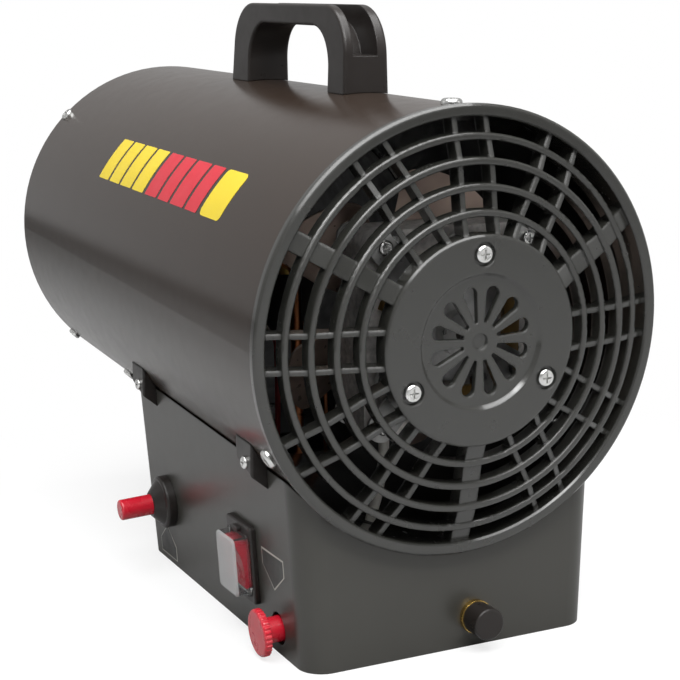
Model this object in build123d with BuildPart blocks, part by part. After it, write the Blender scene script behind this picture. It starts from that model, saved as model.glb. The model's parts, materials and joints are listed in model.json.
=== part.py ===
from build123d import *
from math import asin, atan2, cos, degrees, hypot, radians, sin, sqrt, tan
import os

# Forced air heater for bottled gas. Millimetres, Z up.
# X runs across to the controls (+X), Y from the hot end (-Y) to the inlet grille (+Y).
# The origin is on the floor, in the middle of the base.

# ---------------------------------------------------------------- driving dimensions

# Base housing
base_width = 145.8         # at the floor
base_length = 214.6
base_corner = 12.0
base_wall = 1.2
front_lean = 3.2           # degrees that the end under the hot outlet leans out
side_lean = 3.1            # degrees that each side panel leans out toward its top
lip_width = 9.0            # inward lip that the bottom plate is screwed to
lip_clear = 3.8            # underside of the lip above the floor
bottom_sheet = 1.4
bottom_gap = 0.3           # between the bottom plate's edge and the walls
bottom_screw = 1.7
bottom_screw_inset = 17.2  # end screws, from the base's ends
saddle_gap = 0.8           # between the base's top edge and the casing

# Barrel: its axis climbs toward the outlet
barrel_tilt = 3.19         # degrees
rim_overhang = 12.8        # grille rim behind the base's rear face
belly_height = 49.0        # casing's underside above the floor, at the grille rim
casing_radius = 98.3
casing_wall = 0.8
casing_end = 385.0         # outlet edge, measured along the axis from the grille rim

# Combustion tube, outlet ring and guard
tube_radius = 79.2
tube_wall = 0.8
tube_start = 195.0
outlet_ring_depth = 17.0
outlet_ring_wall = 1.0
outlet_setback = 2.0       # ring's face inside the casing's edge
outlet_slots = 16
outlet_slot_length = 20.0
outlet_slot_width = 6.0
air_holes = 12
air_hole_radius = 4.5
air_hole_inset = 32.0      # from the tube's burner end
guard_ring_radius = 40.0
guard_wire = 1.6
guard_setback = 6.0
spacer_start = 215.0
spacer_width = 15.0
spacer_sheet = 1.2
spacer_foot = 14.0
spacer_length = 27.0

# Inlet grille
rim_proud = 1.7            # beyond the casing
rim_lip = 5.4              # width of the rim's front
rim_skirt = 4.0
spigot_end = 24.0
spigot_wall = 2.0
ring_width = 3.1
ring_depth = 7.5
ring_radii = (88.0, 77.9, 67.2, 56.4)
ring_fronts = (1.7, 5.7, 7.7, 9.5)       # how far each ring bulges out past the rim
disc_radius = 46.3
disc_front = 13.1
disc_sheet = 3.0
disc_skirt_depth = 9.0
disc_skirt_wall = 2.4
dish_radius = 30.0
dish_depth = 1.6
spoke_sheet = 2.4
spoke_pitch = 15.5         # between the two blades of a pair
spoke_depth = 8.0
spoke_setback = 1.9        # spokes lie behind the ring fronts
spoke_root = 3.0           # length that runs on into the rim and the disc
rib_width = 9.0
vent_count = 12
vent_inner = 8.5
vent_outer = 24.5
vent_tip = 1.5
vent_width = 6.5
post_radius = 5.0
post_circle = 38.0
hub_hole_radius = 3.5
cap_sheet = 1.2            # floor of the dish below its middle
boss_width = 12.0
boss_depth = 5.0
counterbore_radius = 5.2
counterbore_depth = 1.6

# Handle
handle_width = 22.0
handle_rear = 99.8         # ends of the handle, along the axis from the rim
handle_front = 245.3
handle_rise = 41.0         # top above the casing
handle_draft = 5.3
handle_rear_draft = 2.0
handle_side_draft = 1.2      # widening of each side over its height
arch_rear = 119.5
arch_front = 220.3
arch_rise = 30.7
handle_rear_round = 24.0
handle_front_round = 24.0
arch_round = 20.0
channel_width = 12.9
channel_offset = 0.45
arch_wall = 2.6            # between the channel and the arch
ledge_rise = 17.3
handle_edge = 1.4
handle_sink = 8.0          # blank below the casing's top, before the seat is cut

# Saddle lugs that tie the casing to the base
lug_reach = 12.4           # beyond the side panel's foot
lug_length = 18.5
lug_root_drop = 8.6        # below the casing, over the panel's foot
lug_face_drop = 15.5       # below the casing, at the outer face's end toward the grille
lug_rise = 4.7             # climb of the underside from that end to the other
rear_lug_inset = 26.8      # from the base's rear face
front_lug_inset = 36.5     # from the base's front edge, at the floor
lug_edge = 1.0
lug_screw_radius = 1.5
lug_screw_inset = 6.3      # from the lug's end toward the grille
lug_screw_rise = 5.2       # above its lowest outer edge

# Motor
stack_width = 84.0
stack_height = 92.0
stack_start = 15.0
stack_length = 24.0
stack_corner = 8.0
motor_screw_x = 35.5
motor_screw_y = 39.5
yoke_inner = 38.0
pole_width = 22.0
pole_shoe = 3.0
rotor_radius = 22.0
rotor_gap = 0.3
coil_reach = 2.8           # coil ends beyond the stack
coil_inner = 26.0
coil_outer = 34.0
bracket_sheet = 1.5
bracket_leg = 3.5
bearing_radius = 8.0
bearing_length = 8.0
shaft_radius = 3.0
bearing_clear = 0.05
rear_cup_depth = 7.0       # bearing cups beyond the brackets
front_cup_depth = 6.0
cup_wall = 2.0
cup_sheet = 1.3
motor_screw = 2.0
cross_width = 14.0
tab_width = 12.0
cross_centre = 22.0
bracket_foot = 4.0
pole_gap = 2.0
coil_half_width = 16.4

# Fan
fan_radius = 66.5
fan_corner = 7.0           # rounding of a blade's two outer corners
fan_gap = 4.0              # between the front bearing cup and the hub
fan_blades = 5
fan_pitch = 32.0           # degrees
fan_turn = 115.0           # degrees of one blade's middle, from +X
fan_sheet = 1.2
fan_hub_radius = 9.0
fan_hub_length = 16.0

# Igniter on the control side
igniter_inset = 37.7        # from the base's front edge, at the floor
igniter_z = 36.0
igniter_collar_radius = 14.0
igniter_collar_proud = 5.5
igniter_cone_proud = 10.4
igniter_cone_tip = 6.6
igniter_cone_ledge = 2.0    # from the collar's side to the cone's foot
igniter_thread_radius = 9.8
igniter_body_wall = 3.5
igniter_body_depth = 42.0
igniter_button_radius = 5.5
igniter_button_proud = 27.6
igniter_boot_radius = 4.0
igniter_boot_length = 5.0
igniter_back_radius = 13.0
igniter_back_sheet = 2.5
igniter_spring_wire = 0.6

# Rocker switch
switch_inset = 66.4         # from the base's rear face
switch_z = 36.2
switch_frame_width = 30.5
switch_frame_height = 38.0
switch_frame_proud = 2.9
switch_body_width = 26.0
switch_body_height = 30.0
switch_body_depth = 28.0
rocker_half_width = 10.2
rocker_half_height = 10.9
rocker_proud = 7.0
rocker_dip = 1.6
rocker_rest = 8.0          # degrees
rocker_pin = 1.5
cover_width = 22.5
cover_height = 28.0
cover_drop = 0.7           # cover's middle below the switch's
cover_front = 10.2
cover_wall = 0.9
cover_inner_corner = 0.9
cover_flange = 1.0
cover_flange_sheet = 0.8

# Gas valve and its push button
valve_inset = 31.5          # from the base's rear face
valve_lip_gap = 0.1        # between the valve's collar and the base's lip
valve_stem_radius = 6.0
valve_cap_radius = 11.0
valve_cap_sheet = 3.4
valve_cap_standoff = 7.6
valve_collar_wall = 1.5
valve_collar_setback = 2.6 # collar's end behind the panel's face
valve_spring_wire = 0.5
valve_body_depth = 34.0
valve_body_width = 22.0
valve_body_low = 7.4       # body below the stem's axis
valve_body_high = 14.0
knurl_count = 30
knurl_radius = 0.8
knurl_offset = 0.35

# Gas inlet on the rear face
inlet_x = -10.8
inlet_z = 14.2
inlet_flange_reach = 2.3    # beyond the spigot
inlet_flange = 2.5
inlet_spigot_radius = 5.5
inlet_spigot_length = 7.6
inlet_cap_wall = 1.9
inlet_cap_length = 11.5
gas_bore = 2.0
pipe_radius = 3.0
pipe_bend = 11.0

# Mains entry on the far side
bushing_inset = 47.3        # from the base's rear face
bushing_z = 24.0
bushing_neck = 6.9
bushing_bore = 4.0
bushing_flange = 2.6
bushing_proud = 3.0

# Burner
bracket_station = 204.5
burner_cup_radius = 30.0
burner_cup_depth = 28.0
flame_plate_radius = 38.0
flame_plate_station = 250.0
electrode_drop = 38.0
electrode_radius = 1.0
electrode_sleeve = 3.2
probe_radius = 3.1
electrode_x = 13.0         # the electrode stands on the control side, the probe on the other

# Fits
running_gap = 0.08         # radial, between a sliding stem and its bore
screw_gap = 0.2            # radial, between a screw and its clearance hole
seat_gap = 0.1             # between a curved seat and the casing
snap_gap = 0.02            # round a pressed-in bearing

# ---------------------------------------------------------------- datums

half_width = base_width / 2
half_length = base_length / 2
tilt = radians(barrel_tilt)
lean = radians(front_lean)
flare = radians(side_lean)
rim_height = belly_height + casing_radius
rim_radius = casing_radius + rim_proud
rim_inner = rim_radius - rim_lip
igniter_y = igniter_inset - half_length
switch_y = half_length - switch_inset
valve_y = half_length - valve_inset
bushing_y = half_length - bushing_inset
valve_collar_radius = valve_stem_radius + valve_collar_wall
valve_z = lip_clear + base_wall + valve_collar_radius + valve_lip_gap
rear_lug_start = rim_overhang + rear_lug_inset
front_lug_start = rim_overhang + base_length - front_lug_inset
outlet_way = Vector(0, -cos(tilt), sin(tilt))
barrel_up = Vector(0, sin(tilt), cos(tilt))
rim_centre = Vector(0, half_length + rim_overhang, rim_height)
barrel_axis = Axis(rim_centre, outlet_way)
casing_inner = casing_radius - casing_wall

ACROSS = Plane(origin=rim_centre, x_dir=(1, 0, 0), z_dir=outlet_way)
ALONG = Plane(origin=rim_centre, x_dir=outlet_way, z_dir=(-1, 0, 0))


def station(distance):
    """Plane across the barrel, that far from the grille rim; x is +X, y is up, z is to the outlet."""
    return ACROSS.offset(distance)


def at(distance, across, up):
    """Point in the barrel's own directions."""
    return ACROSS.from_local_coords((across, up, distance))


def on_barrel(distance, angle, radius):
    """Plane that touches a circle round the barrel axis and faces outward; 0 degrees is +X."""
    turn = radians(angle)
    outward = Vector(1, 0, 0) * cos(turn) + barrel_up * sin(turn)
    return Plane(origin=at(distance, radius * cos(turn), radius * sin(turn)),
                 x_dir=outlet_way, z_dir=outward)


def inward(seat, depth=0):
    """The same seat seen from its other side, that much deeper."""
    return Plane(origin=seat.origin - seat.z_dir * depth, x_dir=seat.x_dir, z_dir=seat.z_dir * -1)


def side_plane(y, z, side=1):
    """Plane on a side panel, facing out; x is +Y on the control side, y is up the panel."""
    return Plane(origin=(side * (half_width + z * tan(flare)), y, z), x_dir=(0, side, 0),
                 z_dir=(side * cos(flare), 0, -sin(flare)))


def casing_drop(across, radius=casing_radius):
    """Height of the casing's underside, from the barrel axis, at that distance across."""
    return -sqrt(radius ** 2 - across ** 2)


def save(piece, label):
    piece.label = label
    export_step(piece, f"parts/{label}.step")


os.makedirs("parts", exist_ok=True)

# ---------------------------------------------------------------- shared shapes


def tube(plane, outer, inner, length):
    with BuildPart() as piece:
        with BuildSketch(plane):
            Circle(outer)
            Circle(inner, mode=Mode.SUBTRACT)
        extrude(amount=length)
    return piece.part


def rod(plane, radius, length):
    with BuildPart() as piece:
        with BuildSketch(plane):
            Circle(radius)
        extrude(amount=length)
    return piece.part


def pan_screw(head_radius, head_height, shank_radius, shank_length):
    """Cross-recessed screw with its seat at the origin and its head toward +Z."""
    recess = head_radius * 0.55
    with BuildPart() as screw:
        with BuildSketch(Plane.XZ):
            with BuildLine():
                Line((0, -shank_length), (shank_radius, -shank_length))
                Line((shank_radius, -shank_length), (shank_radius, 0))
                Line((shank_radius, 0), (head_radius, 0))
                Line((head_radius, 0), (head_radius, head_height * 0.4))
                TangentArc((head_radius, head_height * 0.4), (head_radius * 0.5, head_height),
                           tangent=(0, 1))
                Line((head_radius * 0.5, head_height), (0, head_height))
                Line((0, head_height), (0, -shank_length))
            make_face()
        revolve(axis=Axis.Z)
        with BuildSketch(Plane.XY.offset(head_height)):
            Rectangle(2 * recess, recess * 0.34)
            Rectangle(recess * 0.34, 2 * recess)
        extrude(amount=-head_height * 0.6, mode=Mode.SUBTRACT)
    return screw.part


def hex_nut(plane, half_flats, bore, thickness):
    with BuildPart() as nut:
        with BuildSketch(plane):
            RegularPolygon(half_flats, 6, major_radius=False)
            Circle(bore, mode=Mode.SUBTRACT)
        extrude(amount=thickness)
    return nut.part


def bend_radii(points):
    """As large an arc at each corner as its two runs allow."""
    radii = []
    for before, corner, after in zip(points, points[1:], points[2:]):
        first = Vector(corner) - Vector(before)
        second = Vector(after) - Vector(corner)
        turn = radians(first.get_angle(second))
        radii.append(0.45 * min(first.length, second.length) / tan(turn / 2))
    return radii


def bent_tube(points, radii, radius):
    """Round bar along straight runs and tangent arcs."""
    with BuildPart() as piece:
        with BuildLine() as route:
            FilletPolyline(*points, radius=radii)
        with BuildSketch(Plane(origin=route.line @ 0, z_dir=route.line % 0)):
            Circle(radius)
        sweep()
    return piece.part


def coil_spring(plane, coil_radius, wire, length, turns):
    """Helical spring along the plane's normal, from its origin."""
    with BuildPart() as piece:
        with BuildLine() as route:
            Helix(pitch=(length - 2 * wire) / turns, height=length - 2 * wire, radius=coil_radius,
                  center=plane.origin + plane.z_dir * wire, direction=plane.z_dir)
        with BuildSketch(Plane(origin=route.line @ 0, z_dir=route.line % 0)):
            Circle(wire)
        sweep()
    return piece.part


# ---------------------------------------------------------------- barrel casing

rim_screw_angles = (90, -30, 210)
outlet_screw_angles = (45, 135, 225, 315)
rim_screw_station = 18.0
outlet_screw_station = casing_end - 7.0
side_screw_station = 271.0
side_screw_angle = -47.0
handle_screw_stations = ((handle_rear + arch_rear) / 2, (handle_front + arch_front) / 2)
casing_screw = 2.0         # shank radius of the screws in the casing
pipe_opening = (160.0, 200.0)
pipe_opening_width = 36.0
pipe_opening_corner = 5.0
grommet_station = 34.0
grommet_across = 30.0
grommet_neck = 5.9
grommet_bore = 3.4
grommet_flange = 2.2
grommet_sheet = 1.6
grommet_angle = -90 + degrees(asin(grommet_across / casing_radius))

rim_screw_seats = [on_barrel(rim_screw_station, a, casing_radius) for a in rim_screw_angles]
outlet_screw_seats = [on_barrel(outlet_screw_station, a, casing_radius) for a in outlet_screw_angles]
side_screw_seats = [on_barrel(side_screw_station, a, casing_radius)
                    for a in (side_screw_angle, 180 - side_screw_angle)]
handle_screw_seats = [on_barrel(d, 90, casing_radius) for d in handle_screw_stations]


def lug_screw_seat(start, side):
    """Outer face of a lug, near the end that faces the grille, low down."""
    across = half_width + lug_reach
    centre = at(start + lug_screw_inset, side * across,
                casing_drop(across) - lug_face_drop + lug_screw_rise)
    return Plane(origin=centre, x_dir=outlet_way, z_dir=(side, 0, 0))


lug_places = {
    "rear_right_lug": (rear_lug_start, 1),
    "front_right_lug": (front_lug_start, 1),
    "rear_left_lug": (rear_lug_start, -1),
    "front_left_lug": (front_lug_start, -1),
}
lug_screw_seats = [lug_screw_seat(*place) for place in lug_places.values()]
lug_screw_length = lug_reach + 6.0

with BuildPart() as outer_casing:
    with BuildSketch(station(rim_skirt)):
        Circle(casing_radius)
        Circle(casing_inner, mode=Mode.SUBTRACT)
    extrude(amount=casing_end - rim_skirt)
    # opening in the belly for the gas pipe and the igniter lead
    with BuildSketch(on_barrel(sum(pipe_opening) / 2, -90, casing_radius)):
        RectangleRounded(pipe_opening[1] - pipe_opening[0], pipe_opening_width, pipe_opening_corner)
    extrude(amount=-10, mode=Mode.SUBTRACT)
    with Locations(on_barrel(grommet_station, grommet_angle, casing_radius)):
        Hole(grommet_neck + screw_gap, depth=6)
    with Locations(*rim_screw_seats, *outlet_screw_seats, *side_screw_seats, *handle_screw_seats):
        Hole(casing_screw + screw_gap, depth=6)
    with Locations(*lug_screw_seats):
        Hole(lug_screw_radius + screw_gap, depth=lug_screw_length + 2)
save(outer_casing.part, "outer_casing")

# ---------------------------------------------------------------- outlet ring, guard, combustion tube

outlet_face = casing_end - outlet_setback
outlet_ring_outer = casing_inner - seat_gap
outlet_ring_inner = tube_radius + seat_gap
slot_radius = (outlet_ring_outer + outlet_ring_inner) / 2

with BuildPart() as outlet_ring:
    with BuildSketch(ALONG):
        with Locations((outlet_face - outlet_ring_depth, outlet_ring_inner)):
            Rectangle(outlet_ring_depth, outlet_ring_outer - outlet_ring_inner,
                      align=(Align.MIN, Align.MIN))
        with Locations((outlet_face - outlet_ring_depth, outlet_ring_inner + outlet_ring_wall)):
            Rectangle(outlet_ring_depth - outlet_ring_wall,
                      outlet_ring_outer - outlet_ring_inner - 2 * outlet_ring_wall,
                      align=(Align.MIN, Align.MIN), mode=Mode.SUBTRACT)
    revolve(axis=barrel_axis)
    with BuildSketch(station(outlet_face)):
        with PolarLocations(slot_radius, outlet_slots):
            SlotOverall(outlet_slot_length, outlet_slot_width, rotation=90)
    extrude(amount=-2 * outlet_ring_wall, mode=Mode.SUBTRACT)
    with Locations(*outlet_screw_seats):
        Hole(casing_screw, depth=6)
save(outlet_ring.part, "outlet_ring")

tube_end = outlet_face - outlet_ring_wall
with BuildPart() as combustion_tube:
    with BuildSketch(station(tube_start)):
        Circle(tube_radius)
        Circle(tube_radius - tube_wall, mode=Mode.SUBTRACT)
    extrude(amount=tube_end - tube_start)
    with Locations(*[on_barrel(tube_start + air_hole_inset, (k + 0.5) * 360 / air_holes, tube_radius)
                     for k in range(air_holes)]):
        Hole(air_hole_radius, depth=4)
save(combustion_tube.part, "combustion_tube")

guard_station = tube_end - guard_setback
guard_reach = tube_radius - tube_wall - seat_gap
with BuildPart() as outlet_guard:
    with BuildSketch(ALONG):
        with Locations((guard_station, guard_ring_radius)):
            Circle(guard_wire)
    revolve(axis=barrel_axis)
    with BuildSketch(Plane(origin=at(guard_station, 0, 0), x_dir=barrel_up, z_dir=(1, 0, 0))):
        Circle(guard_wire)
    extrude(amount=guard_reach, both=True)
    with BuildSketch(Plane(origin=at(guard_station, 0, 0), x_dir=(1, 0, 0), z_dir=barrel_up)):
        Circle(guard_wire)
    extrude(amount=guard_reach, both=True)
save(outlet_guard.part, "outlet_guard")

spacer_low = tube_radius + seat_gap
spacer_high = casing_inner - 4 * seat_gap
spacer_turns = (60, 180, 300)
with BuildPart() as spacer:
    with BuildSketch(ALONG):
        with BuildLine():
            Polyline((spacer_start, spacer_low),
                     (spacer_start + spacer_foot, spacer_low),
                     (spacer_start + spacer_foot, spacer_high - spacer_sheet),
                     (spacer_start + spacer_length, spacer_high - spacer_sheet),
                     (spacer_start + spacer_length, spacer_high),
                     (spacer_start + spacer_foot - spacer_sheet, spacer_high),
                     (spacer_start + spacer_foot - spacer_sheet, spacer_low + spacer_sheet),
                     (spacer_start, spacer_low + spacer_sheet),
                     close=True)
        make_face()
    extrude(amount=spacer_width / 2, both=True)
with BuildPart() as tube_spacers:
    for turn in spacer_turns:
        add(spacer.part.rotate(barrel_axis, turn))
save(tube_spacers.part, "tube_spacers")

# ---------------------------------------------------------------- inlet grille

pair_angles = (0, 60, 90, 120, 180, 210, 240, 300, 330)
rib_angles = (30, 150, 270)
spigot_outer = casing_inner - 3 * seat_gap
spigot_inner = spigot_outer - spigot_wall
ring_profiles = list(zip(ring_radii, ring_fronts))
motor_plate = 10.0         # rear face of the motor's rear bracket
spoke_inner = disc_radius - spoke_root
spoke_outer = rim_inner + spoke_root
spoke_middle = (spoke_inner + spoke_outer) / 2
bulge = [(rim_inner + 1.5, -1.0)] + ring_profiles + [(disc_radius - 1.0, disc_front)]
bulge_front = [(spoke_setback - front, radius) for radius, front in bulge]
bulge_back = [(d + spoke_depth, radius) for d, radius in bulge_front]

with BuildPart() as spokes:
    with BuildSketch(station(-disc_front)):
        for angle in pair_angles:
            with PolarLocations(0, 1, start_angle=angle):
                with Locations((spoke_middle, spoke_pitch / 2), (spoke_middle, -spoke_pitch / 2)):
                    Rectangle(spoke_outer - spoke_inner, spoke_sheet)
        for angle in rib_angles:
            with PolarLocations(0, 1, start_angle=angle):
                with Locations((spoke_middle, 0)):
                    Rectangle(spoke_outer - spoke_inner, rib_width)
    extrude(amount=disc_front + rim_skirt + spoke_depth + spoke_setback)
    with BuildSketch(ALONG):
        with BuildLine():
            Polyline(*bulge_front, *reversed(bulge_back), close=True)
        make_face()
    revolve(axis=barrel_axis, mode=Mode.INTERSECT)

with BuildPart() as vents:
    with BuildSketch(station(-disc_front - 1)):
        with PolarLocations(0, vent_count, start_angle=180 / vent_count):
            round_centre = vent_outer - vent_width / 2
            Polygon((vent_inner, -vent_tip / 2), (round_centre, -vent_width / 2),
                    (round_centre, vent_width / 2), (vent_inner, vent_tip / 2), align=None)
            with Locations((round_centre, 0)):
                Circle(vent_width / 2)
    extrude(amount=disc_sheet + dish_depth + 4)

with BuildPart() as inlet_grille:
    # rim with its skirt, and the spigot that plugs into the casing
    with BuildSketch(ALONG):
        with BuildLine():
            Polyline((1.0, rim_radius), (0, rim_radius - 1.0), (0, rim_inner + 0.8), (0.8, rim_inner),
                     (rim_skirt + 3, rim_inner), (spigot_end, spigot_inner), (spigot_end, spigot_outer),
                     (rim_skirt, spigot_outer), (rim_skirt, rim_radius), close=True)
        make_face()
        # rings, each with a rounded front edge
        for radius, front in ring_profiles:
            with Locations((-front, radius - ring_width)):
                RectangleRounded(ring_depth, ring_width, 0.9, align=(Align.MIN, Align.MIN))
        # disc: skirt, face and the dish in its middle
        with BuildLine():
            Polyline((-disc_front, disc_radius - 0.8), (0.8 - disc_front, disc_radius),
                     (disc_skirt_depth - disc_front, disc_radius),
                     (disc_skirt_depth - disc_front, disc_radius - disc_skirt_wall),
                     (disc_sheet - disc_front, disc_radius - disc_skirt_wall),
                     (disc_sheet - disc_front, dish_radius + 1),
                     (disc_sheet + dish_depth - disc_front, dish_radius - 1),
                     (disc_sheet + dish_depth - disc_front, 0),
                     (dish_depth - disc_front, 0),
                     (dish_depth - disc_front, dish_radius - dish_depth),
                     (-disc_front, dish_radius), close=True)
        make_face()
    revolve(axis=barrel_axis)
    add(spokes.part)
    add(vents.part, mode=Mode.SUBTRACT)
    # posts that the motor hangs on
    with BuildSketch(station(disc_sheet - disc_front - 1)):
        with PolarLocations(post_circle, 3, start_angle=90):
            Circle(post_radius)
    extrude(amount=motor_plate + disc_front - disc_sheet + 1)
    with BuildSketch(station(-disc_front)):
        with PolarLocations(post_circle, 3, start_angle=90):
            Circle(counterbore_radius)
    extrude(amount=counterbore_depth, mode=Mode.SUBTRACT)
    with BuildSketch(station(-disc_front)):
        with PolarLocations(post_circle, 3, start_angle=90):
            Circle(casing_screw + screw_gap)
        Circle(hub_hole_radius)
    extrude(amount=disc_front + motor_plate, mode=Mode.SUBTRACT)
    # dimple that closes the middle of the dish
    with BuildSketch(station(dish_depth + cap_sheet - disc_front)):
        Circle(vent_inner - 2)
    extrude(amount=disc_sheet - cap_sheet)
    # bosses for the rim screws
    for seat in rim_screw_seats:
        with BuildSketch(inward(seat, casing_radius - spigot_outer + 0.6)):
            Rectangle(boss_width, boss_width)
        extrude(amount=boss_depth)
    with Locations(*rim_screw_seats):
        Hole(casing_screw, depth=8)
save(inlet_grille.part, "inlet_grille")

rim_screw = pan_screw(4.7, 2.6, casing_screw, 6.5)
with BuildPart() as grille_screws:
    with Locations(*rim_screw_seats):
        add(rim_screw)
save(grille_screws.part, "grille_screws")

small_screw = pan_screw(3.9, 2.2, casing_screw, 5.0)
with BuildPart() as casing_screws:
    with Locations(*outlet_screw_seats, *side_screw_seats):
        add(small_screw)
save(casing_screws.part, "casing_screws")

disc_screw_length = motor_plate + bracket_sheet + disc_front - counterbore_depth + 2
disc_screw = pan_screw(4.0, 2.4, casing_screw, disc_screw_length)
disc_screw_seats = []
for k in range(3):
    turn = radians(90 + 120 * k)
    place = at(counterbore_depth - disc_front, post_circle * cos(turn), post_circle * sin(turn))
    disc_screw_seats.append(Plane(origin=place, x_dir=(1, 0, 0), z_dir=outlet_way * -1))
with BuildPart() as motor_mount_screws:
    with Locations(*disc_screw_seats):
        add(disc_screw)
save(motor_mount_screws.part, "motor_mount_screws")

# ---------------------------------------------------------------- handle

handle_top = casing_radius + handle_rise
arch_top = casing_radius + arch_rise
channel_floor = casing_radius + ledge_rise
foot_level = casing_radius - handle_sink
handle_heel = handle_front - handle_draft
with BuildPart() as casing_blank:
    with BuildSketch(station(-20)):
        Circle(casing_radius + seat_gap)
    extrude(amount=casing_end + 40)

handle_shoulder = handle_rear + handle_rear_draft
with BuildPart() as handle:
    with BuildSketch(ALONG):
        with BuildLine():
            FilletPolyline((handle_rear, foot_level), (handle_shoulder, handle_top),
                           (handle_heel, handle_top), (handle_front, foot_level),
                           radius=[handle_rear_round, handle_front_round])
            Line((handle_front, foot_level), (handle_rear, foot_level))
        make_face()
        with BuildLine():
            FilletPolyline((arch_rear, foot_level - 1), (arch_rear, arch_top),
                           (arch_front, arch_top), (arch_front, foot_level - 1), radius=arch_round)
            Line((arch_front, foot_level - 1), (arch_rear, foot_level - 1))
        make_face(mode=Mode.SUBTRACT)
    extrude(amount=handle_width, both=True)
    # the sides widen toward the barrel
    with BuildSketch(station(handle_rear - 10)):
        with BuildLine():
            Polyline((handle_width / 2, handle_top), (-handle_width / 2, handle_top),
                     (-handle_width / 2 - handle_side_draft, foot_level),
                     (handle_width / 2 + handle_side_draft, foot_level), close=True)
        make_face()
    extrude(amount=handle_front - handle_rear + 20, mode=Mode.INTERSECT)
    fillet(handle.faces().sort_by(Axis.X)[-1].edges() + handle.faces().sort_by(Axis.X)[0].edges(),
           handle_edge)
    # channel round the outside, above a ledge on each leg
    with BuildSketch(ALONG.offset(-channel_width / 2 - channel_offset)):
        with BuildLine():
            FilletPolyline((handle_rear - 5, channel_floor), (handle_rear - 5, handle_top + 5),
                           (handle_front + 5, handle_top + 5), (handle_front + 5, channel_floor),
                           radius=3)
            Line((handle_front + 5, channel_floor), (handle_rear - 5, channel_floor))
        make_face()
        with BuildLine():
            FilletPolyline((arch_rear - arch_wall, foot_level), (arch_rear - arch_wall, arch_top + arch_wall),
                           (arch_front + arch_wall, arch_top + arch_wall),
                           (arch_front + arch_wall, foot_level), radius=arch_round + arch_wall)
            Line((arch_front + arch_wall, foot_level), (arch_rear - arch_wall, foot_level))
        make_face(mode=Mode.SUBTRACT)
    extrude(amount=channel_width, mode=Mode.SUBTRACT)
    add(casing_blank.part, mode=Mode.SUBTRACT)
    with Locations(*[inward(seat) for seat in handle_screw_seats]):
        Hole(casing_screw, depth=12)
save(handle.part, "handle")

handle_screw = pan_screw(4.2, 2.4, casing_screw, 11.0)
with BuildPart() as handle_screws:
    with Locations(*[inward(seat, casing_wall + seat_gap) for seat in handle_screw_seats]):
        add(handle_screw)
save(handle_screws.part, "handle_screws")

# ---------------------------------------------------------------- base

IGNITER = side_plane(igniter_y, igniter_z)
SWITCH = side_plane(switch_y, switch_z)
VALVE = side_plane(valve_y, valve_z)
BUSHING = side_plane(bushing_y, bushing_z, -1)
INLET = Plane(origin=(inlet_x, half_length, inlet_z), x_dir=(-1, 0, 0), z_dir=(0, 1, 0))


def base_block(inset, bottom, top):
    """The base's outline drawn in by inset, between two heights."""
    rear = half_length - inset
    low = bottom - base_corner
    high = top + base_corner
    front_low = -half_length - low * tan(lean) + inset / cos(lean)
    front_high = -half_length - high * tan(lean) + inset / cos(lean)
    side_low = half_width + low * tan(flare) - inset / cos(flare)
    side_high = half_width + high * tan(flare) - inset / cos(flare)
    with BuildPart() as block:
        with BuildSketch(Plane.YZ):
            with BuildLine():
                Polyline((rear, low), (rear, high), (front_high, high), (front_low, low), close=True)
            make_face()
        extrude(amount=base_width, both=True)
        with BuildSketch(Plane.XZ):
            with BuildLine():
                Polyline((side_low, low), (side_high, high), (-side_high, high), (-side_low, low),
                         close=True)
            make_face()
        extrude(amount=2 * base_length, both=True, mode=Mode.INTERSECT)
        uprights = block.edges().filter_by(lambda edge: abs((edge @ 1).Z - (edge @ 0).Z) > base_corner)
        fillet(uprights, max(base_corner - inset, 2.0))
        with BuildSketch(Plane.XY.offset(bottom)):
            Rectangle(2 * base_width, 2 * base_length)
        extrude(amount=top - bottom, mode=Mode.INTERSECT)
    return block.part


lip_top = lip_clear + base_wall
switch_cutout = (switch_body_width + 0.4, switch_body_height + 0.4)
plate_top = lip_clear
plate_bottom = plate_top - bottom_sheet
base_outside = base_block(0, 0, rim_height)
base_inside = base_block(base_wall, lip_top, rim_height + 1)
base_under = base_block(base_wall, -1, lip_clear)
base_window = base_block(base_wall + lip_width, lip_clear - 1, lip_top + 1)
bottom_screw_x = half_width - base_wall - lip_width / 2
bottom_screw_y = half_length - bottom_screw_inset
bottom_screw_places = [(x, y) for x in (-bottom_screw_x, bottom_screw_x)
                       for y in (-bottom_screw_y, 0, bottom_screw_y)]

with BuildPart() as saddle_blank:
    with BuildSketch(station(-20)):
        Circle(casing_radius + saddle_gap)
    extrude(amount=casing_end + 40)

with BuildPart() as base_housing:
    add(base_outside)
    add(base_inside, mode=Mode.SUBTRACT)
    add(base_under, mode=Mode.SUBTRACT)
    add(base_window, mode=Mode.SUBTRACT)
    add(saddle_blank.part, mode=Mode.SUBTRACT)
    with Locations(IGNITER):
        Hole(igniter_thread_radius + screw_gap, depth=4)
    with Locations(VALVE):
        Hole(valve_collar_radius + screw_gap, depth=4)
    with BuildSketch(SWITCH):
        Rectangle(*switch_cutout)
    extrude(amount=-4, mode=Mode.SUBTRACT)
    with Locations(BUSHING):
        Hole(bushing_neck + screw_gap, depth=4)
    with Locations(INLET):
        Hole(inlet_spigot_radius + screw_gap, depth=4)
    with BuildSketch(Plane.XY.offset(lip_clear - 1)):
        with Locations(*bottom_screw_places):
            Circle(bottom_screw)
    extrude(amount=4, mode=Mode.SUBTRACT)
save(base_housing.part, "base_housing")

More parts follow.
